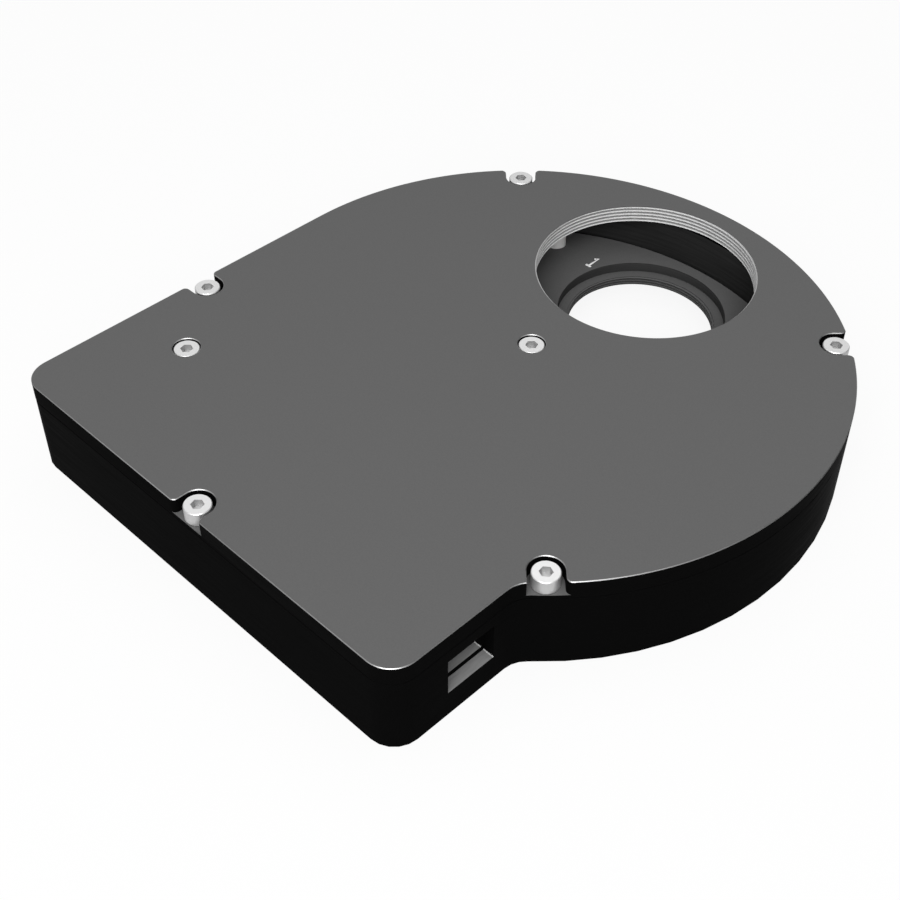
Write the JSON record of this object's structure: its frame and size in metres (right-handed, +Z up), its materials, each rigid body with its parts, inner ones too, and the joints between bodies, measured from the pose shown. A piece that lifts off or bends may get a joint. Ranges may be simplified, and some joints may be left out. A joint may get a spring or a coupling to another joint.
{
  "type": "optical filter wheel",
  "caption": "Slim motorised filter wheel: flat screwed housing with coaxial threaded ports over a turning disc of round filter seats.",
  "frame": {"origin": "the wheel's axis where it meets the underside of the base", "axes": "+Z up out of the cover, +Y from the wheel's axis towards the ports, +X towards the USB side"},
  "size_m": [0.1128, 0.1253, 0.0187],
  "materials": {
    "black_anodised": "black anodised, satin",
    "grey_anodised": "grey anodised, fine matt",
    "wheel_anodised": "dark anodised, fine matt",
    "plain_aluminium": "turned",
    "stainless_steel": "bright",
    "bearing_steel": "ground",
    "nickel_plate": "bright nickel",
    "brass": "turned",
    "white_nylon": "moulded",
    "black_rubber": "matt",
    "circuit_board": "solder mask",
    "chip_black": "moulded",
    "cream_plastic": "moulded",
    "red_sheath": "smooth",
    "black_sheath": "smooth"
  },
  "bodies": {
    "housing": {"base_housing": "black_anodised", "top_cover": "grey_anodised", "wheel_axle": "stainless_steel", "axle_sleeve": "brass", "roller_post": "stainless_steel", "roller_sleeve": "stainless_steel", "idler_pin": "stainless_steel", "idler_clip": "bearing_steel", "motor_case": "bearing_steel", "motor_flange": "bearing_steel", "control_board": "circuit_board", "controller_chip": "chip_black", "driver_chip": "chip_black", "crystal": "nickel_plate", "hall_sensor": "chip_black", "motor_header": "cream_plastic", "usb_shell": "nickel_plate", "usb_tongue": "chip_black", "motor_lead_red": "red_sheath", "motor_lead_black": "black_sheath", "axle_screw": "stainless_steel", "post_screw": "stainless_steel", "cover_screw_1": "stainless_steel", "cover_screw_2": "stainless_steel", "cover_screw_3": "stainless_steel", "cover_screw_4": "stainless_steel", "cover_screw_5": "stainless_steel", "motor_screw_1": "stainless_steel", "board_screw_1": "stainless_steel", "motor_screw_2": "stainless_steel", "board_screw_2": "stainless_steel", "lower_bearing_inner_ring": "bearing_steel", "upper_bearing_inner_ring": "bearing_steel"},
    "wheel": {"filter_wheel": "wheel_anodised", "hub_circlip": "bearing_steel", "lower_bearing_outer_ring": "bearing_steel", "upper_bearing_outer_ring": "bearing_steel", "index_magnet_1": "nickel_plate", "index_magnet_2": "nickel_plate", "index_magnet_3": "nickel_plate", "index_magnet_4": "nickel_plate", "index_magnet_5": "nickel_plate"},
    "lower_cage": {"lower_bearing_caged_balls": "bearing_steel"},
    "upper_cage": {"upper_bearing_caged_balls": "bearing_steel"},
    "roller": {"drive_roller": "plain_aluminium", "roller_bush": "brass", "roller_tyre": "black_rubber", "roller_gear": "brass"},
    "idler": {"idler_gear": "white_nylon"},
    "rotor": {"motor_shaft": "stainless_steel", "motor_pinion": "brass"}
  },
  "joints": [
    {"name": "wheel_spin", "type": "hinge", "parent": "housing", "child": "wheel", "pos_m": [0, 0, 0], "axis": [0, 0, 1], "continuous": true},
    {"name": "lower_cage_spin", "type": "hinge", "parent": "housing", "child": "lower_cage", "pos_m": [0, 0, 0], "axis": [0, 0, 1], "continuous": true},
    {"name": "upper_cage_spin", "type": "hinge", "parent": "housing", "child": "upper_cage", "pos_m": [0, 0, 0], "axis": [0, 0, 1], "continuous": true},
    {"name": "roller_spin", "type": "hinge", "parent": "housing", "child": "roller", "pos_m": [-0.04219, -0.04385, 0], "axis": [0, 0, 1], "continuous": true},
    {"name": "idler_spin", "type": "hinge", "parent": "housing", "child": "idler", "pos_m": [-0.02711, -0.04934, 0], "axis": [0, 0, 1], "continuous": true},
    {"name": "motor_spin", "type": "hinge", "parent": "housing", "child": "rotor", "pos_m": [-0.01903, -0.05612, 0], "axis": [0, 0, 1], "continuous": true}
  ],
  "couplings": [
    {"joint": "lower_cage_spin", "follows": "wheel_spin", "ratio": 0.6},
    {"joint": "upper_cage_spin", "follows": "wheel_spin", "ratio": 0.6},
    {"joint": "roller_spin", "follows": "wheel_spin", "ratio": -4.8788},
    {"joint": "idler_spin", "follows": "wheel_spin", "ratio": 6.2728},
    {"joint": "motor_spin", "follows": "wheel_spin", "ratio": -12.546}
  ]
}
